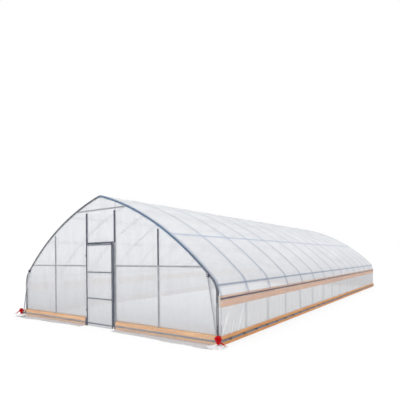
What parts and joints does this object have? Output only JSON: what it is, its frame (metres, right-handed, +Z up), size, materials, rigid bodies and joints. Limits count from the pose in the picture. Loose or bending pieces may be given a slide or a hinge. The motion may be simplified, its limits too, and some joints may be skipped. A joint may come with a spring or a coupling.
{
  "type": "polytunnel greenhouse",
  "caption": "Long hoop greenhouse under translucent film, with timber base and hip boards, roll-up side curtains and a framed film door in the front end.",
  "frame": {"origin": "on the ground, under the middle of the whole part", "axes": "+Y along the tunnel from the door end to the back end, +X to the right-hand side seen from the front, +Z up"},
  "size_m": [6.5642, 14.3222, 2.9044],
  "materials": {
    "galvanised": "galvanised",
    "dark_steel": "satin",
    "timber": "bare, sawn",
    "film": "translucent",
    "grip_channel": "mill",
    "winder_red": "gloss",
    "black_fitting": "matt"
  },
  "bodies": {
    "tunnel": {"hoop_legs": "galvanised", "hoop_shoulders": "galvanised", "lower_rafters": "galvanised", "middle_rafters": "galvanised", "upper_rafters": "galvanised", "ridge_saddles": "galvanised", "ridge_purlin": "galvanised", "upper_purlins": "galvanised", "mid_purlins": "galvanised", "shoulder_purlins": "galvanised", "outer_posts": "galvanised", "back_posts": "galvanised", "front_rails": "galvanised", "back_rail": "galvanised", "collar_ties": "galvanised", "door_posts": "dark_steel", "door_header": "dark_steel", "roll_pipes": "dark_steel", "guide_poles": "dark_steel", "hinge_pins": "dark_steel", "left_baseboard": "timber", "right_baseboard": "timber", "front_baseboards": "timber", "back_baseboard": "timber", "left_hip_board": "timber", "right_hip_board": "timber", "roof_film_left": "film", "roof_film_right": "film", "front_film_left": "film", "front_film_right": "film", "front_film_top": "film", "back_film": "film", "front_skirts": "film", "back_skirt": "film", "side_curtain_left": "film", "side_curtain_right": "film", "hip_channels": "grip_channel", "base_channels": "grip_channel", "front_arch_channel": "grip_channel", "back_arch_channel": "grip_channel", "winder_housings": "winder_red", "winder_cranks": "winder_red", "pole_brackets": "black_fitting"},
    "door": {"door_stiles": "galvanised", "door_rails": "galvanised", "door_film": "film", "door_knuckles": "dark_steel"}
  },
  "joints": [
    {"name": "door_hinge", "type": "hinge", "parent": "tunnel", "child": "door", "pos_m": [-0.464, -6.95978, 1], "axis": [0, 0, -1], "range_deg": [0, 105]}
  ]
}
